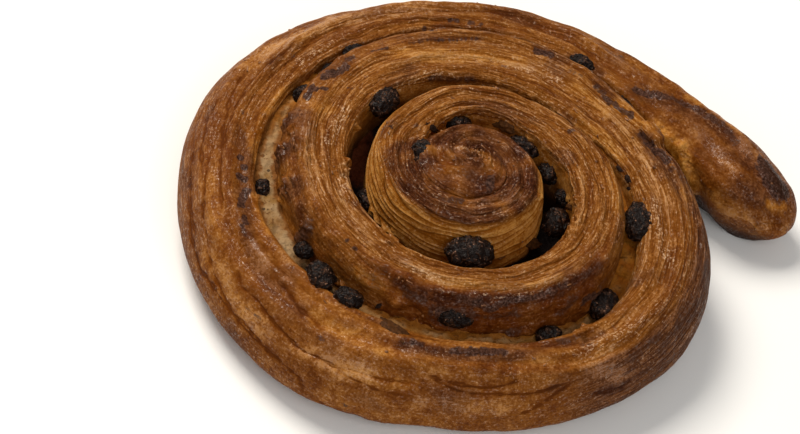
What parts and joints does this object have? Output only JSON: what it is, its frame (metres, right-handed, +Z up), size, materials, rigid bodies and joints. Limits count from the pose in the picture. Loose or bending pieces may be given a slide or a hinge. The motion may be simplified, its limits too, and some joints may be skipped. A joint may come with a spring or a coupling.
{
  "type": "pain aux raisins",
  "caption": "Baked spiral of flaky laminated dough whose outer turn ends in a loose tail, with custard between the turns and raisins set in the custard.",
  "frame": {"origin": "middle of the footprint, on the surface that the pastry rests on", "axes": "+Z up out of the spiral's face, +X along the length, from the round side towards the tail"},
  "size_m": [0.1417, 0.1211, 0.0338],
  "materials": {
    "baked_dough": "browned flaky crust with a thin sugar glaze",
    "custard": "baked pastry cream, pale and crumbly where it shows",
    "raisin_skin": "dark wrinkled skin with a soft sheen"
  },
  "bodies": {
    "root": {"dough": "baked_dough", "custard": "custard", "raisin_01": "raisin_skin", "raisin_02": "raisin_skin", "raisin_03": "raisin_skin", "raisin_04": "raisin_skin", "raisin_05": "raisin_skin", "raisin_06": "raisin_skin", "raisin_07": "raisin_skin", "raisin_08": "raisin_skin", "raisin_09": "raisin_skin", "raisin_10": "raisin_skin", "raisin_11": "raisin_skin", "raisin_12": "raisin_skin", "raisin_13": "raisin_skin", "raisin_14": "raisin_skin", "raisin_15": "raisin_skin", "raisin_16": "raisin_skin", "raisin_17": "raisin_skin", "raisin_18": "raisin_skin", "raisin_19": "raisin_skin", "raisin_20": "raisin_skin", "raisin_21": "raisin_skin", "raisin_22": "raisin_skin"}
  },
  "joints": []
}
